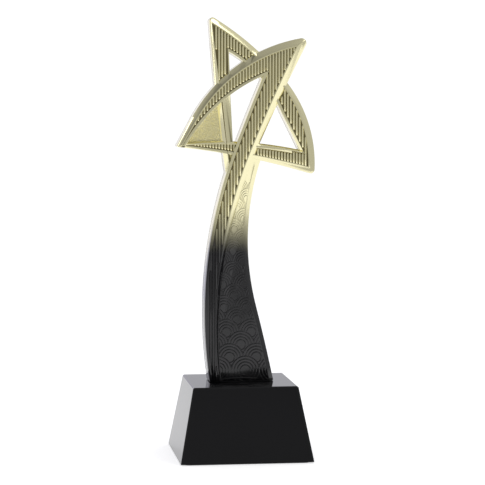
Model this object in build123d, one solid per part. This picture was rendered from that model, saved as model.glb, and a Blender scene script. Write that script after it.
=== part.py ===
"""Star trophy: a cored, plated figure of folded bands, bolted to a black crystal block.

The figure is drawn face up in its own plane and then stood upright.  While it lies down,
x runs to the right, y runs up the figure and z is the height of the relief.  Upright, x is
unchanged, y becomes +Z and the relief faces -Y.  The origin is on the surface the trophy
stands on, at the middle of the block.
"""
from build123d import *
import math
import os
from dataclasses import dataclass

# Crystal block and its underside pad
BLOCK_BOTTOM = 80.0
BLOCK_TOP = 63.0
BLOCK_HEIGHT = 45.0
BLOCK_EDGE = 0.7
PAD_SIZE = 76.0
PAD_THICKNESS = 0.6
PAD_CORNER = 4.0

# Clamp stack, from the underside of the block up into the foot of the figure
BOLT_X = (-9.5, 8.5)
BOLT_Y = 1.2
BOLT_RADIUS = 3.0
BOLT_LENGTH = 50.0
HEAD_FLATS = 10.0
HEAD_HEIGHT = 4.0
BOLT_HOLE_RADIUS = 3.5
COUNTERBORE_RADIUS = 8.0
COUNTERBORE_DEPTH = 12.0
SOFT_WASHER = (3.2, 7.0, 1.0)
FLAT_WASHER = (3.2, 6.0, 1.6)
SPRING_WASHER = (3.1, 5.5, 1.5)
SPRING_GAP = 1.2
INSERT_RADIUS = 4.0
INSERT_LENGTH = 12.0
THREAD_CLEARANCE = 0.05
PLUG_HEIGHT = 18.0
PLUG_CLEARANCE = 0.1
PLUG_BORE_DEPTH = 15.0
BOLT_TIP = 0.6
HEAD_CONE = (5.2, 10.2, 5.0)
GASKET_THICKNESS = 0.5
GASKET_INSET = 0.6

# Figure: relief heights above the middle plane, and the back, which leans forward to the top
RIBBON_FRONT = 9.0
STAR_FRONT = 7.6
STEM_PANEL_FRONT = 6.4
CORNER_PANEL_FRONT = 5.0
FLOOR_DEPTH = 0.9
BACK_AT_FOOT = -9.0
BACK_AT_TOP = -4.0
CORE_TOP = 3.6
WALL = 2.2
COVER_THICKNESS = 2.0
COVER_LEDGE = 1.1
COVER_CLEARANCE = 0.1
FIGURE_TOP = 265.0
FOOT = BLOCK_HEIGHT + GASKET_THICKNESS
BELOW_BACK = -12.0

# Cutting shapes are larger than the figure: their width, their height up it, and their ends
CUT_WIDTH = 200.0
CUT_HEIGHT = 300.0
CUT_DEPTH = 30.0
CUT_SHORTENING = 0.02
BELOW_STAR = 160.0
ABOVE_FIGURE = 270.0

# Flanks outside the bands, and the flat rims between a flank or an opening and the ribs
FLANK_DEPTH = 2.2
UPRIGHT_FLANK = 2.4
UPRIGHT_SLOPE_DEPTH = 1.1
LOWER_BAND_DEPTH = 1.4
LOWER_BAND_STEP = 0.5
LOWER_BAND_BEVEL = 1.3
STEM_FLANK = 2.6
CREST_RIM = 0.7
RIM = 1.5
STEM_RIM = 1.7
NARROW_RIM = 0.15
LEFT_RIM = 0.5

# Heights up the figure where one arc of an edge runs on into the next
RIBBON_JOINT = 184.5
STEM_JOINT = 91.0
RIGHT_BAND_JOINT = 226.8
ARCH_JOINT = 205.0
UPRIGHT_JOINT = 218.0
ARCH_FLOOR_END = 188.0
GROOVE_END = 177.0

# Rounding of the four tips, by where each sharp corner is
TIPS = {(-39.2, 187.0): 0.9, (-19.1, 266.0): 2.0, (42.2, 253.2): 3.0, (45.0, 170.1): 2.5}

ON_BASE = (Align.CENTER, Align.CENTER, Align.MIN)


@dataclass(frozen=True)
class Arc:
    """One round edge of a band: its circle, and whether the band lies inside that circle."""
    x: float
    y: float
    radius: float
    inside: bool

    def disc(self, grow=0.0):
        return Pos(self.x, self.y) * Circle(self.radius + grow)

    def clip(self, region, inset=0.0):
        """Keep the band's side of this edge, moved in by the inset."""
        if self.inside:
            return region & self.disc(-inset)
        return region - self.disc(inset)

    def crest(self, low, high):
        """The arc along the inner side of a flank, from its (height, width) at two places."""
        side = 1.0 if self.inside else -1.0
        reach_low = self.radius - side * low[1]
        reach_high = self.radius - side * high[1]
        rise_low = reach_low * (low[0] - self.y) / self.radius
        rise_high = reach_high * (high[0] - self.y) / self.radius
        shift = (reach_low ** 2 - reach_high ** 2) / (rise_low - rise_high) / 2
        radius = math.sqrt(reach_low ** 2 - 2 * rise_low * shift + shift ** 2)
        return Arc(self.x, self.y + shift, radius, self.inside)

    def flank(self, crest, front, depth=FLANK_DEPTH):
        """What to cut away so that the band falls off from its crest to this edge."""
        over = 0.5
        rings = []
        for share in (-over, 1.0 + over):
            y = self.y + share * (crest.y - self.y)
            radius = self.radius + share * (crest.radius - self.radius)
            rings.append(Pos(self.x, y, front - depth * (1.0 - share)) * Circle(radius))
        cone = loft(rings, ruled=True)
        height = depth * (1 + 2 * over) - CUT_SHORTENING
        slab = Pos(0, (FOOT + FIGURE_TOP) / 2, front - depth / 2) * Box(CUT_WIDTH, CUT_HEIGHT, height)
        return slab - cone if self.inside else slab & cone

    def run_on(self, height, radius, side=-1.0):
        """The arc that leaves this one smoothly at a height, on one side of its circle.

        A negative radius bends the other way, so the band is on the other side of that circle.
        """
        reach = side * math.sqrt(self.radius ** 2 - (height - self.y) ** 2)
        ratio = radius / self.radius
        x = self.x + reach * (1.0 - ratio)
        y = height + (self.y - height) * ratio
        return Arc(x, y, abs(radius), self.inside == (radius > 0))


ARCH_OUTER = Arc(53.2, 159.6, 94.2, True)
ARCH_OUTER_LOW = ARCH_OUTER.run_on(ARCH_JOINT, 1500.0)
ARCH_INNER = Arc(52.6, 138.6, 99.2, False)
RIBBON_LEFT_LOW = Arc(259.2, 86.4, 281.3, True)
RIBBON_LEFT_HIGH = RIBBON_LEFT_LOW.run_on(RIBBON_JOINT, 1054.0)
RIBBON_RIGHT_LOW = Arc(265.6, 72.6, 279.6, False)
RIBBON_RIGHT_HIGH = RIBBON_RIGHT_LOW.run_on(RIBBON_JOINT, 1125.0)
RIGHT_OUTER_LOW = Arc(-33.5, 176.9, 78.8, True)
RIGHT_OUTER_HIGH = RIGHT_OUTER_LOW.run_on(RIGHT_BAND_JOINT, 166.9, side=1.0)
RIGHT_INNER = Arc(-41.6, 181.7, 71.2, False)
UPRIGHT_LEFT = Arc(1240.1, 352.9, 1262.2, True)
UPRIGHT_RIGHT = Arc(2000.4, 308.6, 2008.7, False)
LOWER_BOTTOM = Arc(-83.3, -247.6, 437.0, False)
LOWER_TOP = Arc(-15.5, -57.4, 248.0, True)
STEM_RIGHT_HIGH = Arc(162.6, 130.4, 158.0, False)
STEM_RIGHT_LOW = STEM_RIGHT_HIGH.run_on(STEM_JOINT, -1000.0)

# The crest of each flank; some flanks widen along their edge
ARCH_CREST = ARCH_OUTER.crest((ARCH_JOINT, 2.6), (250.0, 3.8))
ARCH_CREST_LOW = ARCH_OUTER_LOW.crest((187.0, 2.0), (ARCH_JOINT, 2.6))
RIBBON_CREST_HIGH = RIBBON_RIGHT_HIGH.crest((RIBBON_JOINT, 3.2), (245.0, 4.3))
RIBBON_CREST_LOW = RIBBON_RIGHT_LOW.crest((50.0, 0.6), (RIBBON_JOINT, 3.2))
RIGHT_CREST_HIGH = RIGHT_OUTER_HIGH.crest((RIGHT_BAND_JOINT, 3.0), (260.0, 3.0))
RIGHT_CREST_LOW = RIGHT_OUTER_LOW.crest((175.0, 3.6), (RIGHT_BAND_JOINT, 3.0))
UPRIGHT_CREST = UPRIGHT_LEFT.crest((171.0, UPRIGHT_FLANK), (UPRIGHT_JOINT, UPRIGHT_FLANK))
UPRIGHT_CREST_HIGH = UPRIGHT_LEFT.crest((228.0, 2.3), (255.0, 1.4))
UPRIGHT_SLOPE_CREST = UPRIGHT_RIGHT.crest((178.0, 3.0), (205.0, 4.4))
LOWER_CREST = LOWER_BOTTOM.crest((178.0, 2.2), (187.0, 1.2))
LOWER_TOP_CREST = LOWER_TOP.crest((186.0, LOWER_BAND_BEVEL), (190.0, LOWER_BAND_BEVEL))
STEM_CREST_HIGH = STEM_RIGHT_HIGH.crest((STEM_JOINT, STEM_FLANK), (178.0, STEM_FLANK))
STEM_CREST_LOW = STEM_RIGHT_LOW.crest((FOOT, STEM_FLANK), (STEM_JOINT, STEM_FLANK))

# The straight side of the right-hand opening, from its top to its bottom corner
OPENING_TOP = Vector(22.5, 212.2)
OPENING_CORNER = Vector(35.5, 186.0)


def strip(low, high):
    """The plain sheet between two heights up the figure, wide enough for any band."""
    return Pos(0, (low + high) / 2) * Rectangle(CUT_WIDTH, high - low)


def right_half():
    """The plain sheet right of the figure's middle."""
    return Pos(CUT_WIDTH / 2, (FOOT + FIGURE_TOP) / 2) * Rectangle(CUT_WIDTH, CUT_HEIGHT)


def clipped(low, high, *edges):
    """The region between two heights, clipped by (edge, inset) pairs."""
    region = strip(low, high)
    for edge, inset in edges:
        region = edge.clip(region, inset)
    return region


def right_opening(grow=0.0):
    """The triangle between the ribbon, the right-hand band and the lower band."""
    along = (OPENING_CORNER - OPENING_TOP).normalized()
    across = Vector(-along.Y, along.X) * grow
    over = OPENING_TOP + across - along * 20
    under = OPENING_CORNER + across + along * 20
    left_of_side = make_face(Polyline(over, under, (-40, under.Y), (-40, over.Y), close=True))
    above_band = left_of_side - LOWER_TOP.disc(-grow)
    return above_band & RIBBON_RIGHT_HIGH.disc(grow)


def arch_regions(outer=0.0, inner=0.0, end=0.0):
    """The arched half of the ribbon, down to the left tip: its upper and its lower stretch."""
    high = clipped(ARCH_JOINT, ABOVE_FIGURE, (ARCH_OUTER, outer), (ARCH_INNER, inner),
                   (RIBBON_RIGHT_HIGH, end))
    low = clipped(BELOW_STAR, ARCH_JOINT, (ARCH_OUTER_LOW, outer), (ARCH_INNER, inner),
                  (LOWER_BOTTOM, end))
    return high, low - RIBBON_LEFT_HIGH.disc()


def ribbon_regions(left=0.0, right=0.0, top=0.0):
    """The ribbon from its folded tip to the foot: its upper and its lower stretch."""
    high = clipped(RIBBON_JOINT, ABOVE_FIGURE, (RIBBON_LEFT_HIGH, left), (RIBBON_RIGHT_HIGH, right),
                   (ARCH_OUTER, top))
    low = clipped(FOOT, RIBBON_JOINT, (RIBBON_LEFT_LOW, left), (RIBBON_RIGHT_LOW, right))
    return high, low


def right_band_regions(outer=0.0, inner=0.0):
    """The curved right-hand band: its upper and its lower stretch."""
    high = clipped(RIGHT_BAND_JOINT, ABOVE_FIGURE, (RIGHT_OUTER_HIGH, outer), (RIGHT_INNER, inner),
                   (UPRIGHT_LEFT, outer))
    low = clipped(BELOW_STAR, RIGHT_BAND_JOINT, (RIGHT_OUTER_LOW, outer), (RIGHT_INNER, inner),
                  (LOWER_BOTTOM, outer))
    return high, low - right_opening(inner)


def upright_region(left=0.0, right=0.0):
    """The upright band on the left, which runs down behind the ribbon."""
    return clipped(BELOW_STAR, ABOVE_FIGURE, (UPRIGHT_LEFT, left), (UPRIGHT_RIGHT, right),
                   (RIGHT_OUTER_HIGH, left))


def lower_band_region(bottom=0.0, top=0.0):
    """The band across the bottom of the star."""
    return clipped(BELOW_STAR, ARCH_JOINT, (LOWER_BOTTOM, bottom), (LOWER_TOP, top),
                   (ARCH_OUTER_LOW, bottom), (RIGHT_OUTER_LOW, bottom))


def stem_regions(left=0.0, right=0.0):
    """The whole width of the stem, ribbon and side panel: its upper and its lower stretch."""
    high = clipped(STEM_JOINT, RIBBON_JOINT, (RIBBON_LEFT_LOW, left), (STEM_RIGHT_HIGH, right))
    low = clipped(FOOT, STEM_JOINT, (RIBBON_LEFT_LOW, left), (STEM_RIGHT_LOW, right))
    return high, low


def corner_region(inset=0.0):
    """The lower left corner of the star, which is filled."""
    return clipped(BELOW_STAR, UPRIGHT_JOINT, (ARCH_OUTER_LOW, inset), (ARCH_OUTER, inset),
                   (LOWER_BOTTOM, inset), (UPRIGHT_RIGHT, inset))


def silhouette(inset=0.0):
    """The figure's outline with its three openings, with every edge moved in by the inset."""
    outline = corner_region(inset) + upright_region(inset, inset) + lower_band_region(inset, inset)
    stretches = (*arch_regions(inset, inset, inset), *right_band_regions(inset, inset),
                 *stem_regions(inset, inset), ribbon_regions(inset, inset, inset)[0])
    for region in stretches:
        outline = outline + region
    return outline


def raised(region, front, bottom=BELOW_BACK):
    """A region as a slab, from below the back of the figure up to its front."""
    return Pos(0, 0, bottom) * extrude(region, front - bottom)


def pocket(region, front):
    """The shallow recess that holds a band's ribs."""
    return raised(region, front + 1.0, front - FLOOR_DEPTH)


def ribbon_floors():
    """The recessed floors of the ribbon: both stretches of its run and of its arch."""
    high = clipped(RIBBON_JOINT, ABOVE_FIGURE, (RIBBON_LEFT_HIGH, STEM_RIM),
                   (RIBBON_CREST_HIGH, CREST_RIM), (ARCH_CREST, CREST_RIM))
    low = clipped(FOOT, RIBBON_JOINT, (RIBBON_LEFT_LOW, STEM_RIM), (RIBBON_CREST_LOW, CREST_RIM))
    arch_high = clipped(ARCH_JOINT, ABOVE_FIGURE, (ARCH_CREST, CREST_RIM), (ARCH_INNER, RIM),
                        (RIBBON_CREST_HIGH, CREST_RIM))
    arch_low = clipped(ARCH_FLOOR_END, ARCH_JOINT, (ARCH_CREST_LOW, CREST_RIM), (ARCH_INNER, RIM))
    return high, low, arch_high, arch_low - RIBBON_LEFT_HIGH.disc()


def ribbon_solid():
    """The ribbon on top: up from the foot, folded at the upper right, and down the arch."""
    front = RIBBON_FRONT
    high, low = ribbon_regions()
    arch_high, arch_low = arch_regions()
    arch_flank = ARCH_OUTER.flank(ARCH_CREST, front)
    side_flank = RIBBON_RIGHT_HIGH.flank(RIBBON_CREST_HIGH, front)
    solid = raised(low, front) - RIBBON_RIGHT_LOW.flank(RIBBON_CREST_LOW, front)
    solid = solid + (raised(high, front) - side_flank - arch_flank)
    solid = solid + (raised(arch_high, front) - arch_flank - side_flank)
    solid = solid + (raised(arch_low, front) - ARCH_OUTER_LOW.flank(ARCH_CREST_LOW, front)
                     - LOWER_BOTTOM.flank(LOWER_CREST, front, LOWER_BAND_DEPTH))
    for floor in ribbon_floors():
        solid = solid - pocket(floor, front)
    return solid


def star_floors():
    """The recessed floors of the bands under the ribbon, and the groove down the upright."""
    high = clipped(RIGHT_BAND_JOINT, ABOVE_FIGURE, (RIGHT_CREST_HIGH, CREST_RIM), (RIGHT_INNER, RIM),
                   (UPRIGHT_CREST_HIGH, NARROW_RIM))
    low = clipped(BELOW_STAR, RIGHT_BAND_JOINT, (RIGHT_CREST_LOW, CREST_RIM), (RIGHT_INNER, RIM),
                  (LOWER_CREST, CREST_RIM))
    upright = clipped(UPRIGHT_JOINT, ABOVE_FIGURE, (UPRIGHT_CREST_HIGH, NARROW_RIM),
                      (UPRIGHT_RIGHT, CREST_RIM), (RIGHT_CREST_HIGH, CREST_RIM))
    groove = clipped(GROOVE_END, UPRIGHT_JOINT, (UPRIGHT_CREST, NARROW_RIM),
                     (UPRIGHT_SLOPE_CREST, NARROW_RIM))
    across = clipped(BELOW_STAR, ARCH_JOINT, (LOWER_CREST, CREST_RIM), (LOWER_TOP_CREST, RIM),
                     (RIGHT_CREST_LOW, CREST_RIM)) & right_half()
    left_end = clipped(BELOW_STAR, ARCH_JOINT, (LOWER_CREST, NARROW_RIM),
                       (LOWER_TOP_CREST, LEFT_RIM), (ARCH_CREST_LOW, CREST_RIM)) - right_half()
    low = low - right_opening(RIM) - LOWER_TOP_CREST.disc(-RIM)
    return high, low, upright, groove, across, left_end


def right_band_solid():
    """The curved band from the upper left tip to the right-hand tip."""
    high, low = right_band_regions()
    high = raised(high, STAR_FRONT) - RIGHT_OUTER_HIGH.flank(RIGHT_CREST_HIGH, STAR_FRONT)
    low = raised(low, STAR_FRONT) - RIGHT_OUTER_LOW.flank(RIGHT_CREST_LOW, STAR_FRONT)
    high = high - UPRIGHT_LEFT.flank(UPRIGHT_CREST_HIGH, STAR_FRONT)
    return high + (low - LOWER_BOTTOM.flank(LOWER_CREST, STAR_FRONT, LOWER_BAND_DEPTH))


def upright_solid():
    """The upright band: flat above the arch, and below it a smooth slope on its right."""
    below_arch = raised(strip(BELOW_STAR, UPRIGHT_JOINT), RIBBON_FRONT)
    flank = UPRIGHT_LEFT.flank(UPRIGHT_CREST, STAR_FRONT) & below_arch
    flank_high = UPRIGHT_LEFT.flank(UPRIGHT_CREST_HIGH, STAR_FRONT) - below_arch
    slope = UPRIGHT_RIGHT.flank(UPRIGHT_SLOPE_CREST, STAR_FRONT, UPRIGHT_SLOPE_DEPTH) & below_arch
    solid = raised(upright_region(), STAR_FRONT) - flank - flank_high - slope
    return solid - RIGHT_OUTER_HIGH.flank(RIGHT_CREST_HIGH, STAR_FRONT)


def lower_band_solid():
    """The band across the bottom of the star, from the left tip to the right-hand tip."""
    solid = raised(lower_band_region(), STAR_FRONT)
    solid = solid - LOWER_BOTTOM.flank(LOWER_CREST, STAR_FRONT, LOWER_BAND_DEPTH)
    solid = solid - ARCH_OUTER_LOW.flank(ARCH_CREST_LOW, RIBBON_FRONT)
    bevel = LOWER_TOP.flank(LOWER_TOP_CREST, STAR_FRONT, LOWER_BAND_BEVEL)
    return solid - bevel - RIGHT_OUTER_LOW.flank(RIGHT_CREST_LOW, STAR_FRONT)


def lower_band_step():
    """The little step under the crest of the lower band, on the right of the stem."""
    beyond = strip(BELOW_STAR, RIBBON_JOINT) & LOWER_CREST.disc() & right_half()
    return raised(beyond, RIBBON_FRONT, STAR_FRONT - LOWER_BAND_STEP)


def opening_bevel():
    """The bevel along the foot of the right-hand opening, which runs on to the opening's corner."""
    edge = right_opening(LOWER_BAND_BEVEL) & LOWER_TOP.disc()
    bevel = LOWER_TOP.flank(LOWER_TOP_CREST, STAR_FRONT, LOWER_BAND_BEVEL)
    return bevel & raised(edge, STAR_FRONT)


def star_solid():
    """The three bands under the ribbon, with the floors for their ribs."""
    solid = right_band_solid() + upright_solid() + lower_band_solid()
    solid = solid - lower_band_step() - opening_bevel()
    for floor in star_floors():
        solid = solid - pocket(floor, STAR_FRONT)
    return solid


def stem_panel_solid():
    """The broad panel beside the ribbon, which runs on under it."""
    front = STEM_PANEL_FRONT
    high, low = stem_regions(left=3.0)
    solid = raised(high, front) - STEM_RIGHT_HIGH.flank(STEM_CREST_HIGH, front)
    return solid + (raised(low, front) - STEM_RIGHT_LOW.flank(STEM_CREST_LOW, front))


def back_plane(depth=0.0):
    """The plane of the figure's back, moved towards the front by a depth."""
    lean = math.atan2(BACK_AT_TOP - BACK_AT_FOOT, FIGURE_TOP - FOOT)
    return Location((0, FOOT, BACK_AT_FOOT + depth), (math.degrees(lean), 0, 0))


def behind(depth=0.0):
    """The block of space behind the back plane."""
    middle = Pos(0, (FIGURE_TOP - FOOT) / 2, -CUT_DEPTH / 2)
    return back_plane(depth) * middle * Box(CUT_WIDTH, CUT_HEIGHT, CUT_DEPTH)


def rounded_outline():
    """The figure's outline with its four tips rounded."""
    outline = silhouette()
    for (x, y), radius in TIPS.items():
        corner = outline.vertices().sort_by_distance((x, y, 0))[0]
        outline = fillet(corner, radius)
    return outline


def figure_body():
    """The front and sides of the figure, cored out from behind, with a ledge for the cover."""
    body = ribbon_solid() + star_solid() + stem_panel_solid()
    body = body + raised(corner_region(2.0), CORNER_PANEL_FRONT)
    body = body & raised(rounded_outline(), RIBBON_FRONT + 1.0)
    body = body - behind() - raised(silhouette(WALL), CORE_TOP)
    ledge = raised(silhouette(COVER_LEDGE), CORE_TOP) & behind(COVER_THICKNESS)
    return body - ledge


def figure_back_cover():
    """The plate that closes the figure's back, set flush into its ledge."""
    plate = raised(silhouette(COVER_LEDGE + COVER_CLEARANCE), CORE_TOP)
    return (plate & behind(COVER_THICKNESS)) - behind()


def bolt_places(height):
    """Where the two bolts stand, upright, at a height."""
    return [Pos(x, BOLT_Y, height) for x in BOLT_X]


def foot_plug():
    """The moulded plug that fills the foot between panel and cover, bored for the inserts."""
    inset = WALL + PLUG_CLEARANCE
    foot = clipped(FOOT, FOOT + PLUG_HEIGHT, (RIBBON_LEFT_LOW, inset), (STEM_RIGHT_LOW, inset))
    block = raised(foot, CORE_TOP - PLUG_CLEARANCE) - behind(COVER_THICKNESS + PLUG_CLEARANCE)
    plug = Plane.XZ * block
    for place in bolt_places(FOOT):
        plug = plug - place * Cylinder(INSERT_RADIUS, PLUG_BORE_DEPTH, align=ON_BASE)
    return plug


def ring(inner, outer, thickness):
    """A flat ring standing on its own base."""
    blank = Cylinder(outer, thickness, align=ON_BASE)
    return blank - Cylinder(inner, thickness, align=ON_BASE)


def spring_ring():
    """A split spring washer."""
    inner, outer, thickness = SPRING_WASHER
    gap = Pos(outer, 0, thickness / 2) * Box(outer * 2, SPRING_GAP, thickness)
    return ring(inner, outer, thickness) - gap


def bolt():
    """A hexagon bolt with its head down, standing on its head."""
    head = extrude(RegularPolygon(HEAD_FLATS / 2, 6, major_radius=False), HEAD_HEIGHT)
    head = head & Cone(*HEAD_CONE, align=ON_BASE)
    shank = Pos(0, 0, HEAD_HEIGHT) * Cylinder(BOLT_RADIUS, BOLT_LENGTH, align=ON_BASE)
    tip = shank.faces().sort_by(Axis.Z)[-1].edges()
    return head + chamfer(tip, BOLT_TIP)


def at_both_bolts(piece, height):
    """Two copies of a piece, one at each bolt."""
    return Compound(children=[place * piece for place in bolt_places(height)])


def crystal_block():
    """The black block: a polished frustum, bored and counterbored from below for the bolts."""
    taper = math.degrees(math.atan2((BLOCK_BOTTOM - BLOCK_TOP) / 2, BLOCK_HEIGHT))
    block = extrude(Rectangle(BLOCK_BOTTOM, BLOCK_BOTTOM), BLOCK_HEIGHT, taper=taper)
    block = chamfer(block.edges(), BLOCK_EDGE)
    block = block - Box(CUT_WIDTH, CUT_WIDTH, PAD_THICKNESS, align=ON_BASE)
    for place in bolt_places(0):
        block = block - place * Cylinder(BOLT_HOLE_RADIUS, BLOCK_HEIGHT, align=ON_BASE)
        block = block - place * Cylinder(COUNTERBORE_RADIUS, COUNTERBORE_DEPTH, align=ON_BASE)
    return block


def foot_gasket():
    """The thin gasket between the foot of the figure and the block."""
    edges = (RIBBON_LEFT_LOW, GASKET_INSET), (STEM_RIGHT_LOW, GASKET_INSET)
    foot = raised(clipped(FOOT, FOOT + GASKET_THICKNESS, *edges), STEM_PANEL_FRONT - GASKET_INSET)
    footprint = (Plane.XZ * (foot - behind(GASKET_INSET))).faces().sort_by(Axis.Z)[0]
    sheet = Pos(0, 0, -GASKET_THICKNESS) * extrude(footprint, GASKET_THICKNESS, dir=(0, 0, 1))
    for place in bolt_places(BLOCK_HEIGHT):
        sheet = sheet - place * Cylinder(BOLT_HOLE_RADIUS, GASKET_THICKNESS, align=ON_BASE)
    return sheet


def underside_pad():
    """The thin pad under the block, which also hides the bolt heads."""
    return extrude(RectangleRounded(PAD_SIZE, PAD_SIZE, PAD_CORNER), PAD_THICKNESS)


def clamp_stack():
    """The washers and bolts in the counterbores, from the seat down to the bolt head."""
    pieces = {}
    height = COUNTERBORE_DEPTH
    stack = (("soft_washers", ring(*SOFT_WASHER), SOFT_WASHER[2]),
             ("flat_washers", ring(*FLAT_WASHER), FLAT_WASHER[2]),
             ("spring_washers", spring_ring(), SPRING_WASHER[2]),
             ("clamp_bolts", bolt(), HEAD_HEIGHT))
    for name, piece, thickness in stack:
        height = height - thickness
        pieces[name] = at_both_bolts(piece, height)
    return pieces


def threaded_inserts():
    """The two brass inserts set into the foot plug."""
    piece = ring(BOLT_RADIUS + THREAD_CLEARANCE, INSERT_RADIUS, INSERT_LENGTH)
    return at_both_bolts(piece, FOOT)


def trophy():
    """Every piece of the trophy under its node's name."""
    pieces = {
        "figure_body": Plane.XZ * figure_body(),
        "figure_back_cover": Plane.XZ * figure_back_cover(),
        "foot_plug": foot_plug(),
        "threaded_inserts": threaded_inserts(),
        "foot_gasket": foot_gasket(),
        "crystal_block": crystal_block(),
        "underside_pad": underside_pad(),
    }
    pieces.update(clamp_stack())
    return pieces


os.makedirs("parts", exist_ok=True)
for node, shape in trophy().items():
    export_step(shape, f"parts/{node}.step")
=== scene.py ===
import logging
import math
import random
from contextlib import contextmanager
from dataclasses import dataclass, field
from enum import Enum
from typing import Callable, Iterator, Optional

import bmesh
import bpy
from mathutils import Matrix, Vector
from mathutils.bvhtree import BVHTree


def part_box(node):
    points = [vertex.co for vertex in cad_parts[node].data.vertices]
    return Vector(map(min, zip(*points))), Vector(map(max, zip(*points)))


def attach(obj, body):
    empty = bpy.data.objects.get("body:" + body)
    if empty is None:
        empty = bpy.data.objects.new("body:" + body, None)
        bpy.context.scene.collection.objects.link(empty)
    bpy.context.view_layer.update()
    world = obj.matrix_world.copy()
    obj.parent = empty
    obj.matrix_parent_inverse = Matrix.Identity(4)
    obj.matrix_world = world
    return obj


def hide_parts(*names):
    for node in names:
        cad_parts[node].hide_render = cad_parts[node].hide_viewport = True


# Star trophy: a figure of folded bands, plated pale gold and lacquered black towards its foot, on
# a black crystal block.  The figure is the CAD body with eased edges, and carries modelled reliefs:
# ribs on the bands' floors, scales and beads on the stem's panel, and grains in the star's corner.
# The block and the hidden fittings are the CAD nodes themselves, with their own finishes.

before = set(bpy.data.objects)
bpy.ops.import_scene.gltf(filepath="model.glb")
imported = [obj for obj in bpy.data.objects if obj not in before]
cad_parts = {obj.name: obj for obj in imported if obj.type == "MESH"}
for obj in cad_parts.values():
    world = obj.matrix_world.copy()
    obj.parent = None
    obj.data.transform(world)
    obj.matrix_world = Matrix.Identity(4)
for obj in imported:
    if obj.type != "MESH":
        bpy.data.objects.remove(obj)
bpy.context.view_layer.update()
LOG = logging.getLogger("star_trophy")
MM = 0.001

Colour = tuple[float, float, float]


# ---------------------------------------------------------------- modelling tools


def select_only(piece: bpy.types.Object) -> None:
    """Make one piece the only selected and active object."""
    for other in bpy.context.selected_objects:
        other.select_set(False)
    piece.select_set(True)
    bpy.context.view_layer.objects.active = piece


@contextmanager
def editing(piece: bpy.types.Object) -> Iterator[bmesh.types.BMesh]:
    """Open a piece in edit mode with nothing selected, and leave edit mode at the end.

    Args:
        piece: The mesh object to edit.

    Returns:
        The edit mesh, for choosing faces and edges in code.
    """
    select_only(piece)
    bpy.ops.object.mode_set(mode="EDIT")
    bpy.ops.mesh.select_all(action="DESELECT")
    yield bmesh.from_edit_mesh(piece.data)
    bpy.ops.object.mode_set(mode="OBJECT")


def choose_faces(shape: bmesh.types.BMesh, test: Callable[[bmesh.types.BMFace], bool]) -> None:
    """Select the faces that pass a test."""
    for face in shape.faces:
        face.select_set(test(face))


def outward(piece: bpy.types.Object) -> None:
    """Merge doubled points and turn every face of a closed piece outwards."""
    with editing(piece):
        bpy.ops.mesh.select_all(action="SELECT")
        bpy.ops.mesh.remove_doubles(threshold=0.001 * MM)
        bpy.ops.mesh.normals_make_consistent(inside=False)


def placed_copy(source: bpy.types.Object, place: Matrix) -> bpy.types.Object:
    """Copy a piece with its own mesh, and put the place into that mesh.

    Args:
        source: The piece that was modelled once.
        place: Where the copy goes.

    Returns:
        The copy, linked to the scene.
    """
    copy = source.copy()
    copy.data = source.data.copy()
    copy.data.transform(place)
    bpy.context.scene.collection.objects.link(copy)
    return copy


def joined(pieces: list[bpy.types.Object], name: str) -> bpy.types.Object:
    """Join pieces into one object.

    Args:
        pieces: The pieces to join, all at the origin.
        name: The joined object's name.

    Returns:
        The joined object.
    """
    select_only(pieces[0])
    for piece in pieces[1:]:
        piece.select_set(True)
    bpy.ops.object.join()
    whole = bpy.context.view_layer.objects.active
    whole.name = name
    whole.data.name = name
    return whole


def discard(piece: bpy.types.Object) -> None:
    """Remove a pattern piece whose copies are in place."""
    bpy.data.objects.remove(piece)


def smooth_shaded(piece: bpy.types.Object, degrees: float) -> None:
    """Shade a piece smooth, except across edges sharper than an angle."""
    select_only(piece)
    bpy.ops.object.shade_smooth_by_angle(angle=math.radians(degrees))


def press_back(piece: bpy.types.Object, sink: Callable[[Vector], float]) -> None:
    """Move each point of a piece back into the figure.

    Args:
        piece: The piece to change.
        sink: How far a point goes back along +Y.
    """
    for vertex in piece.data.vertices:
        vertex.co.y += sink(vertex.co)


def ramp(value: float, low: float, high: float) -> float:
    """Return 0 at low and 1 at high, and straight in between."""
    return min(1.0, max(0.0, (value - low) / (high - low)))


# ---------------------------------------------------------------- materials


class Field:
    """A number that varies over a surface: sums and products of it add Math nodes."""

    def __init__(self, shader: "Shader", socket: bpy.types.NodeSocket) -> None:
        """Wrap a socket.

        Args:
            shader: The shader that the socket belongs to.
            socket: The output socket.
        """
        self.shader = shader
        self.socket = socket

    def _math(self, operation: str, first: "Value", second: "Value" = 0.0) -> "Field":
        """Add one Math node and return its result."""
        node = self.shader.node("ShaderNodeMath", {"operation": operation}, {0: first, 1: second})
        return Field(self.shader, node.outputs[0])

    def __add__(self, other: "Value") -> "Field":
        """Return self + other."""
        return self._math("ADD", self, other)

    def __radd__(self, other: "Value") -> "Field":
        """Return other + self."""
        return self._math("ADD", other, self)

    def __sub__(self, other: "Value") -> "Field":
        """Return self - other."""
        return self._math("SUBTRACT", self, other)

    def __rsub__(self, other: "Value") -> "Field":
        """Return other - self."""
        return self._math("SUBTRACT", other, self)

    def __mul__(self, other: "Value") -> "Field":
        """Return self * other."""
        return self._math("MULTIPLY", self, other)

    def __rmul__(self, other: "Value") -> "Field":
        """Return other * self."""
        return self._math("MULTIPLY", other, self)

    def eased(self, low: float, high: float) -> "Field":
        """Return 0 below low and 1 above high, with an eased step in between."""
        settings = {"interpolation_type": "SMOOTHSTEP"}
        node = self.shader.node("ShaderNodeMapRange", settings, {0: self, 1: low, 2: high})
        return Field(self.shader, node.outputs[0])


Value = Field | float


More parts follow.
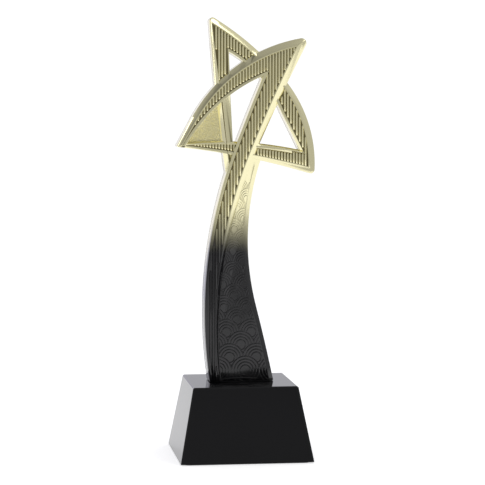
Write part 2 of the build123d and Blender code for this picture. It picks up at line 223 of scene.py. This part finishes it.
class Shader:
    """The node tree of one material or of the world."""

    def __init__(self, tree: bpy.types.NodeTree) -> None:
        """Start with an empty tree."""
        self.tree = tree
        tree.nodes.clear()

    def node(self, kind: str, settings: dict[str, object], values: dict) -> bpy.types.Node:
        """Add a node.

        Args:
            kind: The node's type.
            settings: The node's own properties, which are set first.
            values: What goes into its sockets, by name or number: a number, colour or field,
                or another node's output socket.

        Returns:
            The new node.
        """
        made = self.tree.nodes.new(kind)
        for name, setting in settings.items():
            setattr(made, name, setting)
        for name, value in values.items():
            socket = made.inputs[name]
            if isinstance(value, Field):
                self.tree.links.new(value.socket, socket)
            elif isinstance(value, bpy.types.NodeSocket):
                self.tree.links.new(value, socket)
            elif isinstance(value, tuple) and len(value) == 3 and socket.type == "RGBA":
                socket.default_value = (*value, 1.0)
            else:
                socket.default_value = value
        return made

    def place(self) -> bpy.types.NodeSocket:
        """Return the object coordinates."""
        return self.node("ShaderNodeTexCoord", {}, {}).outputs["Object"]

    def axes(self, vector: bpy.types.NodeSocket) -> tuple[Field, Field, Field]:
        """Split a vector into its three numbers."""
        split = self.node("ShaderNodeSeparateXYZ", {}, {0: vector})
        return tuple(Field(self, output) for output in split.outputs)

    def noise(self, size: float, detail: float = 2.0) -> Field:
        """Return noise about 0.5 on the object coordinates.

        Args:
            size: The width of its patches, in metres.
            detail: How many finer layers it has.

        Returns:
            The noise.
        """
        values = {"Vector": self.place(), "Scale": 1.0 / size, "Detail": detail}
        return Field(self, self.node("ShaderNodeTexNoise", {}, values).outputs[0])

    def attribute(self, name: str) -> Field:
        """Return a number that a piece's mesh holds, or 0 where it has none."""
        return Field(self, self.node("ShaderNodeAttribute", {"attribute_name": name}, {}).outputs["Fac"])

    def blended(self, share: Value, first: object, second: object) -> bpy.types.NodeSocket:
        """Mix two colours.

        Args:
            share: How much of the second colour shows.
            first: A colour or a colour socket.
            second: A colour or a colour socket.

        Returns:
            The mixed colour.
        """
        colours = {0: share, 6: first, 7: second}
        return self.node("ShaderNodeMix", {"data_type": "RGBA"}, colours).outputs[2]

    def grain(self, height: Field, depth: float, strength: float = 1.0) -> bpy.types.NodeSocket:
        """Return the normal of a fine relief.

        Args:
            height: The relief, from 0 to 1.
            depth: Its depth, in metres.
            strength: How much of it shows.

        Returns:
            The bent normal.
        """
        bump = self.node("ShaderNodeBump", {}, {"Strength": strength, "Distance": depth, "Height": height})
        return bump.outputs[0]

    def surface(self, values: dict) -> None:
        """Finish a material with one principled surface."""
        skin = self.node("ShaderNodeBsdfPrincipled", {}, values)
        self.node("ShaderNodeOutputMaterial", {}, {0: skin.outputs[0]})


def new_material(name: str) -> tuple[bpy.types.Material, Shader]:
    """Make an empty node material.

    Args:
        name: The material's name.

    Returns:
        The material and its shader.
    """
    material = bpy.data.materials.new(name)
    material.use_nodes = True
    return material, Shader(material.node_tree)


@dataclass(frozen=True)
class PlatedFinish:
    """Pale gold plating, with painted shade darkening its recesses, and lacquered black towards the foot.
    """

    name: str = "plated_gold"
    gold: Colour = (0.84, 0.79, 0.50)
    # Painted shade: the dark brown that stands in for the shade on the recess floors and in the rib valleys
    recess_shade_tone: Colour = (0.12, 0.095, 0.03)
    lacquer: Colour = (0.006, 0.006, 0.007)
    recess_shade_share: float = 0.9
    fade_height: float = 120.0 * MM
    front_rise: float = 18.0 * MM
    front_depth: float = 6.0 * MM
    fade_reach: float = 16.0 * MM
    drift: float = 2.5 * MM
    gold_roughness: float = 0.16
    lacquer_roughness: float = 0.14
    cloud_size: float = 14.0 * MM
    wear_size: float = 3.0 * MM
    wear: float = 0.06
    grain_size: float = 1.1 * MM
    grain_depth: float = 0.006 * MM

    def build(self) -> bpy.types.Material:
        """Make the material."""
        material, shader = new_material(self.name)
        _, depth, height = shader.axes(shader.place())
        drift = (shader.noise(self.cloud_size) - 0.5) * self.drift
        rise = height - (0.0 - depth).eased(0.0, self.front_depth) * self.front_rise + drift
        bare = rise.eased(self.fade_height - self.fade_reach, self.fade_height + self.fade_reach)
        # Painted shade: where a piece marks a recess, the gold is mixed towards dark brown in place of the
        # shade light would give there
        recess = shader.attribute("recess") * self.recess_shade_share
        tone = shader.blended(recess, self.gold, self.recess_shade_tone)
        wear = (shader.noise(self.wear_size, 3.0) - 0.5) * self.wear
        rough = self.lacquer_roughness + bare * (self.gold_roughness - self.lacquer_roughness) + wear
        shader.surface({
            "Base Color": shader.blended(bare, self.lacquer, tone),
            "Metallic": bare,
            "Roughness": rough,
            "Normal": shader.grain(shader.noise(self.grain_size), self.grain_depth),
        })
        return material


@dataclass(frozen=True)
class CrystalFinish:
    """Polished black crystal, with the faintest unevenness left by the polishing wheel."""

    name: str = "black_crystal"
    tint: Colour = (0.0015, 0.0015, 0.002)
    haze: Colour = (0.003, 0.003, 0.004)
    roughness: float = 0.015
    cloud_size: float = 30.0 * MM
    wave_size: float = 22.0 * MM
    wave_depth: float = 0.004 * MM

    def build(self) -> bpy.types.Material:
        """Make the material."""
        material, shader = new_material(self.name)
        clouds = shader.noise(self.cloud_size, 3.0)
        shader.surface({
            "Base Color": shader.blended(clouds, self.tint, self.haze),
            "Roughness": self.roughness + clouds * 0.01,
            "IOR": 1.38,
            "Specular IOR Level": 0.4,
            "Normal": shader.grain(shader.noise(self.wave_size, 1.0), self.wave_depth),
        })
        return material


class Make(Enum):
    """How a plain fitting is made, which sets how its surface is built up."""

    METAL = "metal"
    MOULDED = "moulded"
    FOAM = "foam"


@dataclass(frozen=True)
class FittingFinish:
    """The finish of a plain fitting: machined metal, moulded plastic, fibre or foam."""

    name: str
    make: Make
    tint: Colour
    shade: Colour
    roughness: float
    grain_size: float
    grain_depth: float

    def build(self) -> bpy.types.Material:
        """Make the material."""
        material, shader = new_material(self.name)
        grain = shader.noise(self.grain_size, 4.0)
        shader.surface({
            "Base Color": shader.blended(grain.eased(0.3, 0.7), self.tint, self.shade),
            "Metallic": 1.0 if self.make is Make.METAL else 0.0,
            "Roughness": self.roughness + (grain - 0.5) * 0.2,
            "Normal": shader.grain(grain, self.grain_depth, 0.9 if self.make is Make.FOAM else 0.5),
        })
        return material


def dress_plated(piece: bpy.types.Object, finish: bpy.types.Material) -> None:
    """Give a piece of the figure its plated finish, and let it ride the figure."""
    piece.data.materials.clear()
    piece.data.materials.append(finish)
    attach(piece, "root")


# ---------------------------------------------------------------- the figure's front


class FrontMap:
    """The front of the CAD figure as a map of depths, read by rays cast straight back."""

    def __init__(self, node: str) -> None:
        """Read a CAD node's mesh.

        Args:
            node: The CAD node.
        """
        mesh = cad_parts[node].data
        mesh.calc_loop_triangles()
        points = [vertex.co.copy() for vertex in mesh.vertices]
        self.tree = BVHTree.FromPolygons(points, [tuple(t.vertices) for t in mesh.loop_triangles])
        self.low, self.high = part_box(node)

    def look(self, x: float, z: float) -> tuple[Optional[float], bool]:
        """Return the Y of the first surface at a place, if there is one, and whether it is flat."""
        start = Vector((x, self.low.y - 10.0 * MM, z))
        hit, normal = self.tree.ray_cast(start, Vector((0.0, 1.0, 0.0)))[:2]
        return (None, False) if hit is None else (hit.y, abs(normal.y) > 0.9999)

    def is_level(self, x: float, z: float, level: float) -> bool:
        """Tell whether the front is flat at a place, and at a level."""
        depth, is_flat = self.look(x, z)
        return is_flat and abs(depth - level) < 0.04 * MM

    def runs(self, x: float, level: float, step: float = 0.1 * MM) -> list[tuple[float, float]]:
        """Find the upright stretches at one x where the front is at a level.

        Args:
            x: Where to look.
            level: The Y of the surface to find.
            step: The distance between rays.

        Returns:
            The lower and upper end of each stretch.
        """
        found = []
        start = None
        count = int((self.high.z - self.low.z) / step)
        for number in range(count + 1):
            z = self.low.z + number * step
            if self.is_level(x, z, level):
                start = z if start is None else start
            elif start is not None:
                found.append((start, z - step))
                start = None
        return found


@dataclass
class FigureBody:
    """The moulded figure itself, with its edges eased the way plating leaves them."""

    name: str = "star_figure"
    weld: float = 0.02 * MM
    flat_angle: float = 0.5
    edge: float = 0.32 * MM
    edge_segments: int = 3
    sharp_angle: float = 24.0
    smooth_angle: float = 32.0
    floors: tuple[float, ...] = (-8.1 * MM, -6.7 * MM)

    def build(self) -> bpy.types.Object:
        """Copy the CAD body, weld it and ease its edges."""
        body = placed_copy(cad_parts["figure_body"], Matrix.Identity(4))
        body.name = self.name
        body.data.name = self.name
        for key in list(body.keys()):
            del body[key]
        body.parent = None
        body.matrix_world = Matrix.Identity(4)
        with editing(body):
            bpy.ops.mesh.select_all(action="SELECT")
            bpy.ops.mesh.customdata_custom_splitnormals_clear()
            bpy.ops.mesh.remove_doubles(threshold=self.weld)
            bpy.ops.mesh.dissolve_limited(angle_limit=math.radians(self.flat_angle))
        select_only(body)
        bevel = body.modifiers.new("eased_edges", "BEVEL")
        bevel.width = self.edge
        bevel.segments = self.edge_segments
        bevel.limit_method = "ANGLE"
        bevel.angle_limit = math.radians(self.sharp_angle)
        bpy.ops.object.modifier_apply(modifier=bevel.name)
        smooth_shaded(body, self.smooth_angle)
        self.mark_painted_shade(body)
        return body

    def mark_painted_shade(self, body: bpy.types.Object) -> None:
        """Mark the points on the ribs' floors, which get painted shade in the plating's colour."""
        # Painted shade: every point on a recessed floor takes the full dark tone
        marks = body.data.attributes.new("recess", "FLOAT", "POINT")
        for vertex in body.data.vertices:
            on_floor = any(abs(vertex.co.y - floor) < 0.05 * MM for floor in self.floors)
            marks.data[vertex.index].value = 1.0 if on_floor else 0.0

    def dress(self, body: bpy.types.Object, finish: bpy.types.Material) -> None:
        """Give the body its finish and let it stand for the CAD body."""
        dress_plated(body, finish)
        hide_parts("figure_body")


@dataclass
class RibRelief:
    """Upright half-round ribs that fill the recessed floor of a band."""

    name: str
    front: float
    floor_depth: float = 0.9 * MM
    pitch: float = 1.81 * MM
    first: float = 15.9 * MM
    half_width: float = 0.74 * MM
    height: float = 0.82 * MM
    bedding: float = 0.05 * MM
    segments: int = 14
    rings: int = 8
    wall_gap: float = 0.06 * MM
    bite: float = 0.1 * MM
    narrow_rim: float = 0.35 * MM
    broad_rim: float = 1.15 * MM
    margin: float = 0.05 * MM
    slope_reach: float = 0.25 * MM
    same_end: float = 4.0 * MM
    steepest: float = 4.0
    core_share: float = 0.4
    valley_share: float = 0.4
    unit: float = 1.0 * MM

    @property
    def floor(self) -> float:
        """The Y of the recessed floor."""
        return self.front + self.floor_depth

    def model_rib(self) -> bpy.types.Object:
        """Model one rib of unit length, with round ends and a flat back."""
        bpy.ops.mesh.primitive_uv_sphere_add(
            segments=self.segments, ring_count=self.rings, radius=self.half_width
        )
        rib = bpy.context.view_layer.objects.active
        with editing(rib) as shape:
            choose_faces(shape, lambda face: face.calc_center_median().z > 0)
            bpy.ops.mesh.extrude_region_move(TRANSFORM_OT_translate={"value": (0, 0, self.unit)})
            bpy.ops.mesh.select_all(action="SELECT")
            bpy.ops.transform.resize(value=(1, self.height / self.half_width, 1))
            bpy.ops.mesh.bisect(
                plane_co=(0, self.bedding, 0), plane_no=(0, 1, 0), use_fill=True, clear_outer=True
            )
        outward(rib)
        return rib

    def end_slope(self, front: FrontMap, x: float, end: float, is_top: bool) -> float:
        """Measure how steeply the floor's edge crosses a rib's end.

        Args:
            front: The figure's front.
            x: The rib's middle.
            end: The height of the floor's edge there.
            is_top: Whether that is the rib's upper end.

        Returns:
            The rise of the edge over its run.
        """
        reach = self.slope_reach
        heights = []
        for side in (-reach, reach):
            ends = [run[1 if is_top else 0] for run in front.runs(x + side, self.floor)]
            near = [z for z in ends if abs(z - end) < self.same_end]
            heights.append(min(near, key=lambda z: abs(z - end)) if near else end)
        known = sum(height != end for height in heights)
        return (heights[1] - heights[0]) / (reach * max(known, 1))

    def end_centre(self, front: FrontMap, x: float, end: float, is_top: bool) -> float:
        """Find the middle of a rib's round end.

        At a broad rim, and at the edge of a flank, the end stops short of the wall.  It runs
        into the wall at a crest, and on under a band that lies above.

        Args:
            front: The figure's front.
            x: The rib's middle.
            end: The height of the floor's edge there.
            is_top: Whether that is the rib's upper end.

        Returns:
            The height of the middle of the round end.
        """
        up = 1.0 if is_top else -1.0
        slope = self.end_slope(front, x, end, is_top)
        across = math.sqrt(1.0 + slope * slope)
        near, _ = front.look(x, end + up * self.narrow_rim * across)
        if near is not None and near < self.front - self.margin:
            return end + up * self.half_width * (1.0 + min(abs(slope), self.steepest))
        is_rim = near is not None and near < self.front + self.margin
        if is_rim and not front.is_level(x, end + up * self.broad_rim * across, self.front):
            return end - up * self.bite * across
        return end - up * (self.half_width + self.wall_gap) * across

    def build(self, front: FrontMap) -> bpy.types.Object:
        """Fill the band's floor with ribs.

        Args:
            front: The figure's front.

        Returns:
            The ribs, as one piece.
        """
        pattern = self.model_rib()
        ribs = []
        lowest = math.ceil((front.low.x - self.first) / self.pitch)
        highest = math.floor((front.high.x - self.first) / self.pitch)
        for number in range(lowest, highest + 1):
            x = self.first + number * self.pitch
            for low, high in front.runs(x, self.floor):
                bottom = self.end_centre(front, x, low, is_top=False)
                top = self.end_centre(front, x, high, is_top=True)
                middle = (low + high) / 2
                reach = self.core_share * self.half_width
                has_room = all(front.is_level(x + side, middle, self.floor) for side in (-reach, reach))
                if top < bottom or not has_room:
                    continue
                rib = placed_copy(pattern, Matrix.Identity(4))
                for vertex in rib.data.vertices:
                    rise = top - self.unit if vertex.co.z > self.unit / 2 else bottom
                    vertex.co += Vector((x, self.floor, rise))
                ribs.append(rib)
        discard(pattern)
        whole = joined(ribs, self.name)
        self.mark_painted_shade(whole)
        smooth_shaded(whole, 60.0)
        return whole

    def mark_painted_shade(self, ribs: bpy.types.Object) -> None:
        """Mark how deep each point of the ribs lies, for the painted shade in the valleys."""
        # Painted shade: the lower part of each rib darkens towards the floor between the ribs
        marks = ribs.data.attributes.new("recess", "FLOAT", "POINT")
        for vertex in ribs.data.vertices:
            share = ramp(vertex.co.y, self.floor - self.valley_share * self.height, self.floor)
            marks.data[vertex.index].value = share


@dataclass
class Scale:
    """One scale of the stem's pattern: the middle and the two half-axes of its outline."""

    x: float
    z: float
    wide: float
    tall: float

    def share(self, x: float, z: float) -> float:
        """Return how far out a place lies: 0 in the middle and 1 on the outline."""
        return math.hypot((x - self.x) / self.wide, (z - self.z) / self.tall)

    def point(self, share: float, angle: float) -> tuple[float, float]:
        """Return the place at a share of the outline and an angle."""
        return (
            self.x + share * self.wide * math.cos(angle),
            self.z + share * self.tall * math.sin(angle),
        )


@dataclass
class ScaleRelief:
    """Overlapping scales of raised rings on the panel beside the ribbon."""

    name: str = "stem_scales"
    level: float = -6.4 * MM
    first_row: float = 52.0 * MM
    last_row: float = 164.0 * MM
    row_step: float = 0.92
    wide_at_foot: float = 8.5 * MM
    wide_taper: float = 0.040
    tall_taper: float = 0.020
    drift: float = 0.035
    rings: tuple[float, ...] = (1.0, 0.79, 0.58, 0.37)
    line: float = 0.34 * MM
    height: float = 0.3 * MM
    sides: int = 8
    turn: float = math.radians(7.5)
    crest_gap: float = 0.4 * MM
    fade_from: float = 118.0 * MM
    fade_share: float = 0.55
    rim_width: float = 2.6 * MM
    covering_rows: int = 2
    looks: int = 180
    shortest: float = math.radians(8.0)

    def panel(self, front: FrontMap, z: float) -> Optional[tuple[float, float]]:
        """Return the left and right end of the flat panel at a height, if it has one."""
        step = 0.2 * MM
        count = int((front.high.x - front.low.x) / step)
        places = [front.low.x + number * step for number in range(count)]
        flat = [x for x in places if front.is_level(x, z, self.level)]
        return (min(flat), max(flat)) if flat else None

    def rows(self, front: FrontMap) -> list[list[Scale]]:
        """Lay out the scales, row by row from the foot up."""
        rows = []
        z = self.first_row
        while z < self.last_row:
            above = z - self.first_row
            wide = self.wide_at_foot - self.wide_taper * above
            tall = self.wide_at_foot - self.tall_taper * above
            ends = self.panel(front, z)
            if ends is None:
                break
            middle = (ends[0] + ends[1] + self.rim_width) / 2 - self.drift * above
            offset = len(rows) % 2
            places = [middle + (2 * number + offset) * wide for number in range(-3, 3)]
            rows.append([Scale(x, z, wide, tall) for x in places])
            z += self.row_step * tall
        return rows

    def shows(self, front: FrontMap, below: list[Scale], x: float, z: float) -> bool:
        """Tell whether a ring shows at a place: on the panel, and not under a lower scale."""
        if any(scale.share(x, z) < 1.0 for scale in below):
            return False
        return all(front.is_level(x + side, z, self.level) for side in (0.0, self.crest_gap))

    def arcs(
        self, front: FrontMap, scale: Scale, below: list[Scale], share: float
    ) -> list[tuple[float, float]]:
        """Find the stretches of one ring that show.

        Args:
            front: The figure's front.
            scale: The ring's scale.
            below: The scales of the two rows below, which cover it.
            share: The ring's size, as a share of the outline.

        Returns:
            The first and last angle of each stretch.
        """
        start = -math.pi / 2
        step = 2 * math.pi / self.looks
        found = []
        first = None
        for number in range(self.looks + 1):
            angle = start + number * step
            seen = number < self.looks and self.shows(front, below, *scale.point(share, angle))
            if seen and first is None:
                first = angle
            elif not seen and first is not None:
                if angle - first > self.shortest:
                    found.append((first, angle - step))
                first = None
        return found

    def model_arc(self, scale: Scale, share: float, first: float, last: float) -> bpy.types.Object:
        """Spin one raised line along a ring.

        Args:
            scale: The ring's scale.
            share: The ring's size, as a share of the outline.
            first: The angle that the line starts at.
            last: The angle that it ends at.

        Returns:
            The line, in place on the panel.
        """
        line = self.line / scale.wide
        start = (share * math.cos(first), 0.0, share * math.sin(first))
        bpy.ops.mesh.primitive_circle_add(
            vertices=self.sides, radius=line, fill_type="NGON", location=start, rotation=(0, -first, 0)
        )
        arc = bpy.context.view_layer.objects.active
        bpy.ops.object.transform_apply(location=True, rotation=True, scale=True)
        steps = max(2, round((last - first) / self.turn))
        with editing(arc):
            bpy.ops.mesh.select_all(action="SELECT")
            bpy.ops.mesh.spin(steps=steps, angle=last - first, center=(0, 0, 0), axis=(0, 1, 0))
        size = Matrix.Diagonal((scale.wide, self.height / line, scale.tall, 1.0))
        arc.data.transform(Matrix.Translation((scale.x, self.level, scale.z)) @ size)
        return arc

    def build(self, front: FrontMap) -> bpy.types.Object:
        """Cover the panel with scales.

        Args:
            front: The figure's front.

        Returns:
            The scales, as one piece.
        """
        lines = []
        rows = self.rows(front)
        for number, row in enumerate(rows):
            below = [scale for lower in rows[max(0, number - self.covering_rows):number] for scale in lower]
            for scale in row:
                for share in self.rings:
                    for first, last in self.arcs(front, scale, below, share):
                        lines.append(self.model_arc(scale, share, first, last))
        whole = joined(lines, self.name)
        outward(whole)
        fade = self.fade_share * self.height
        press_back(whole, lambda point: fade * ramp(point.z, self.fade_from, self.last_row))
        smooth_shaded(whole, 70.0)
        return whole


@dataclass
class PebbleRelief:
    """Small uneven grains that cover the filled corner of the star."""

    name: str = "corner_pebbles"
    level: float = -5.0 * MM
    spacing: float = 0.74 * MM
    radius: float = 0.40 * MM
    height: float = 0.26 * MM
    bedding: float = 0.03 * MM
    jitter: float = 0.2 * MM
    row_share: float = 0.87
    reach_share: float = 0.6
    seed: int = 7

    def model_pebble(self) -> bpy.types.Object:
        """Model one grain: a low dome with a flat back."""
        bpy.ops.mesh.primitive_uv_sphere_add(
            segments=7, ring_count=6, radius=self.radius, rotation=(math.pi / 2, 0, 0)
        )
        pebble = bpy.context.view_layer.objects.active
        bpy.ops.object.transform_apply(location=True, rotation=True, scale=True)
        with editing(pebble):
            bpy.ops.mesh.select_all(action="SELECT")
            bpy.ops.mesh.bisect(
                plane_co=(0, self.bedding, 0), plane_no=(0, 1, 0), use_fill=True, clear_outer=True
            )
            bpy.ops.transform.resize(value=(1, self.height / self.radius, 1))
        outward(pebble)
        return pebble

    def build(self, front: FrontMap) -> bpy.types.Object:
        """Strew the corner with grains.

        Args:
            front: The figure's front.

        Returns:
            The grains, as one piece.
        """
        draw = random.Random(self.seed)
        pattern = self.model_pebble()
        pebbles = []
        columns = int((front.high.x - front.low.x) / self.spacing)
        row_step = self.spacing * self.row_share
        rows = int((front.high.z - front.low.z) / row_step)
        for row in range(rows):
            for column in range(columns):
                shift = 0.5 * self.spacing * (row % 2)
                x = front.low.x + column * self.spacing + shift + draw.uniform(-1, 1) * self.jitter
                z = front.low.z + row * row_step + draw.uniform(-1, 1) * self.jitter
                size = draw.uniform(0.7, 1.15)
                turn = draw.uniform(0, math.pi)
                reach = self.reach_share * self.radius
                if all(front.is_level(x + side, z, self.level) for side in (-reach, 0.0, reach)):
                    place = Matrix.Translation((x, self.level, z))
                    stretch = Matrix.Diagonal((size, size, size * draw.uniform(0.8, 1.2), 1.0))
                    pebbles.append(placed_copy(pattern, place @ Matrix.Rotation(turn, 4, "Y") @ stretch))
        discard(pattern)
        whole = joined(pebbles, self.name)
        smooth_shaded(whole, 60.0)
        return whole


@dataclass
class EdgeBead:
    """A thin raised bead along an arc on the stem."""

    name: str
    centre: tuple[float, float]
    radius: float
    first: float
    last: float
    level: float
    width: float
    height: float
    steps: int = 40
    sides: int = 10
    fade: Callable[[Vector], float] = field(default=lambda point: 0.0)

    def build(self) -> bpy.types.Object:
        """Spin the bead along its arc, between two angles in degrees."""
        first = math.radians(self.first)
        turn = math.radians(self.last) - first
        x = self.centre[0] + self.radius * math.cos(first)
        z = self.centre[1] + self.radius * math.sin(first)
        bpy.ops.mesh.primitive_circle_add(
            vertices=self.sides, radius=self.width, fill_type="NGON",
            location=(x, self.level, z), rotation=(0, -first, 0)
        )
        bead = bpy.context.view_layer.objects.active
        bpy.ops.object.transform_apply(location=True, rotation=True, scale=True)
        middle = (self.centre[0], self.level, self.centre[1])
        with editing(bead):
            bpy.ops.mesh.select_all(action="SELECT")
            bpy.ops.mesh.spin(steps=self.steps, angle=turn, center=middle, axis=(0, 1, 0))
            bpy.ops.mesh.select_all(action="SELECT")
            bpy.ops.transform.resize(
                value=(1, self.height / self.width, 1), center_override=(0, self.level, 0)
            )
        bead.name = self.name
        bead.data.name = self.name
        outward(bead)
        press_back(bead, lambda point: self.height * self.fade(point))
        smooth_shaded(bead, 70.0)
        return bead


# ---------------------------------------------------------------- the studio


@dataclass
class Studio:
    """A pale floor, soft light from all round and the camera."""

    target: tuple[float, float, float] = (1.91 * MM, 0.0, 129.0 * MM)
    azimuth: float = -7.443
    elevation: float = 3.76
    distance: float = 1219.8 * MM
    lens: float = 149.26
    floor_radius: float = 1.1
    floor_tones: tuple[Colour, Colour] = ((0.86, 0.86, 0.86), (0.88, 0.88, 0.88))
    floor_patch: float = 0.4
    floor_glow: float = 0.6
    # Each pair of tones is that of the left and of the right side
    low_tones: tuple[Colour, Colour] = ((0.64, 0.64, 0.68), (0.56, 0.56, 0.57))
    high_tones: tuple[Colour, Colour] = ((0.40, 0.40, 0.42), (0.66, 0.66, 0.66))
    back_tones: tuple[Colour, Colour] = ((1.0, 0.99, 1.1), (0.80, 0.80, 0.85))
    window_tone: Colour = (0.52, 0.52, 0.52)
    dark_tone: Colour = (0.03, 0.03, 0.032)
    backdrop: Colour = (1.05, 1.05, 1.05)

    def build_floor(self) -> None:
        """Lay the floor."""
        bpy.ops.mesh.primitive_circle_add(vertices=96, radius=self.floor_radius, fill_type="NGON")
        floor = bpy.context.view_layer.objects.active
        floor.name = "floor"
        material, shader = new_material("floor_paper")
        shade = shader.blended(shader.noise(self.floor_patch), *self.floor_tones)
        shader.surface({
            "Base Color": shade, "Roughness": 0.9, "Specular IOR Level": 0.1,
            "Emission Color": (1.0, 1.0, 1.0), "Emission Strength": self.floor_glow,
        })
        floor.data.materials.append(material)

    def build_world(self) -> None:
        """Surround the object with soft greys, which only reflections see, against plain white."""
        world = bpy.data.worlds.new("soft_box")
        bpy.context.scene.world = world
        world.use_nodes = True
        shader = Shader(world.node_tree)
        direction = shader.node("ShaderNodeTexCoord", {}, {}).outputs["Generated"]
        across, back, up = shader.axes(direction)
        ahead = 0.0 - back
        right = across.eased(-0.3, 0.5)
        low_tone = shader.blended(right, *self.low_tones)
        high_tone = shader.blended(right, *self.high_tones)
        back_tone = shader.blended(across.eased(-0.1, 0.1), *self.back_tones)
        window = ahead.eased(0.55, 0.9) * (1.0 - up.eased(0.12, 0.3))
        dim = ahead.eased(0.2, 0.7) * up.eased(0.2, 0.36) * (1.0 - up.eased(0.6, 0.85))
        tone = shader.blended(up.eased(0.1, 0.6), low_tone, high_tone)
        tone = shader.blended(back.eased(0.3, 0.7), tone, back_tone)
        tone = shader.blended(window, tone, self.window_tone)
        tone = shader.blended(dim, tone, self.dark_tone)
        seen = Field(shader, shader.node("ShaderNodeLightPath", {}, {}).outputs["Is Camera Ray"])
        tone = shader.blended(seen, tone, self.backdrop)
        glow = shader.node("ShaderNodeBackground", {}, {"Color": tone, "Strength": 1.0})
        shader.node("ShaderNodeOutputWorld", {}, {0: glow.outputs[0]})

    def build_light(self, name: str, place: Colour, size: tuple[float, float], power: float) -> None:
        """Hang one soft light that faces the object.

        Args:
            name: The light's name.
            place: Where it hangs.
            size: Its width and height.
            power: Its power in watts.
        """
        light = bpy.data.lights.new(name, "AREA")
        light.shape = "RECTANGLE"
        light.size, light.size_y = size
        light.energy = power
        lamp = bpy.data.objects.new(name, light)
        lamp.location = place
        aim = Vector(self.target) - Vector(place)
        lamp.rotation_euler = aim.to_track_quat("-Z", "Y").to_euler()
        bpy.context.scene.collection.objects.link(lamp)

    def build_camera(self) -> None:
        """Set up the camera."""
        turn, tilt = math.radians(self.azimuth), math.radians(self.elevation)
        back = Vector((math.sin(turn) * math.cos(tilt), -math.cos(turn) * math.cos(tilt), math.sin(tilt)))
        data = bpy.data.cameras.new("camera")
        data.lens = self.lens
        data.sensor_width = 36.0
        camera = bpy.data.objects.new("camera", data)
        camera.location = Vector(self.target) + back * self.distance
        camera.rotation_euler = (-back).to_track_quat("-Z", "Y").to_euler()
        bpy.context.scene.collection.objects.link(camera)
        bpy.context.scene.camera = camera

    def build(self) -> None:
        """Build the whole studio."""
        self.build_camera()
        self.build_floor()
        self.build_world()
        self.build_light("key", (0.7, -0.7, 1.3), (0.7, 0.7), 3.0)
        self.build_light("edge", (-1.3, 0.1, 0.7), (0.3, 1.2), 2.5)
        bpy.context.scene.view_settings.view_transform = "Standard"


# ---------------------------------------------------------------- the whole trophy


PANEL_FRONT = -6.4 * MM
BEADS: tuple[EdgeBead, ...] = (
    EdgeBead(
        "panel_edge_bead", centre=(265.6 * MM, 72.6 * MM), radius=279.2 * MM, first=185.5, last=171.0,
        level=PANEL_FRONT, width=0.4 * MM, height=0.3 * MM,
        fade=lambda point: ramp(point.z, 95.0 * MM, 116.0 * MM),
    ),
    EdgeBead(
        "panel_foot_bead", centre=(0.0, -63.0 * MM), radius=110.2 * MM, first=97.0, last=84.5,
        level=PANEL_FRONT, width=0.45 * MM, height=0.4 * MM,
        fade=lambda point: ramp(point.x, 4.0 * MM, 10.5 * MM),
    ),
)

FITTINGS: dict[str, FittingFinish] = {
    "foot_plug": FittingFinish(
        "plug_plastic", Make.MOULDED, (0.035, 0.035, 0.038), (0.05, 0.05, 0.054), 0.5, 0.6 * MM, 0.02 * MM
    ),
    "threaded_inserts": FittingFinish(
        "insert_brass", Make.METAL, (0.75, 0.52, 0.20), (0.62, 0.42, 0.15), 0.32, 0.5 * MM, 0.01 * MM
    ),
    "foot_gasket": FittingFinish(
        "gasket_foam", Make.FOAM, (0.02, 0.02, 0.02), (0.035, 0.035, 0.035), 0.85, 0.3 * MM, 0.05 * MM
    ),
    "underside_pad": FittingFinish(
        "pad_foam", Make.FOAM, (0.018, 0.018, 0.02), (0.04, 0.04, 0.043), 0.9, 0.5 * MM, 0.08 * MM
    ),
    "soft_washers": FittingFinish(
        "washer_fibre", Make.MOULDED, (0.25, 0.06, 0.035), (0.33, 0.09, 0.05), 0.7, 0.4 * MM, 0.03 * MM
    ),
    "flat_washers": FittingFinish(
        "zinc_steel", Make.METAL, (0.62, 0.63, 0.66), (0.5, 0.51, 0.55), 0.3, 0.8 * MM, 0.01 * MM
    ),
}
SHARED_FITTINGS = {"spring_washers": "flat_washers", "clamp_bolts": "flat_washers"}


def dress_fittings() -> None:
    """Give every CAD fitting that stays its own finish."""
    made = {node: finish.build() for node, finish in FITTINGS.items()}
    for node, like in SHARED_FITTINGS.items():
        made[node] = made[like]
    made["crystal_block"] = CrystalFinish().build()
    for node, material in made.items():
        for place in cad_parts[node].material_slots:
            place.material = material
        LOG.info("dressed %s", node)


def main() -> None:
    """Build the trophy and its studio."""
    logging.basicConfig(level=logging.INFO, format="%(message)s")
    Studio().build()
    dress_fittings()
    plated = PlatedFinish().build()
    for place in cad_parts["figure_back_cover"].material_slots:
        place.material = plated
    front = FrontMap("figure_body")
    figure = FigureBody()
    body = figure.build()
    figure.dress(body, plated)
    LOG.info("built %s: %d faces", body.name, len(body.data.polygons))
    reliefs = (
        RibRelief("ribbon_ribs", front=-9.0 * MM),
        RibRelief("star_ribs", front=-7.6 * MM),
        ScaleRelief(),
        PebbleRelief(),
    )
    for relief in reliefs:
        piece = relief.build(front)
        dress_plated(piece, plated)
        LOG.info("built %s: %d faces", piece.name, len(piece.data.polygons))
    for bead in BEADS:
        piece = bead.build()
        dress_plated(piece, plated)
        LOG.info("built %s: %d faces", piece.name, len(piece.data.polygons))


if __name__ == "__main__":
    main()
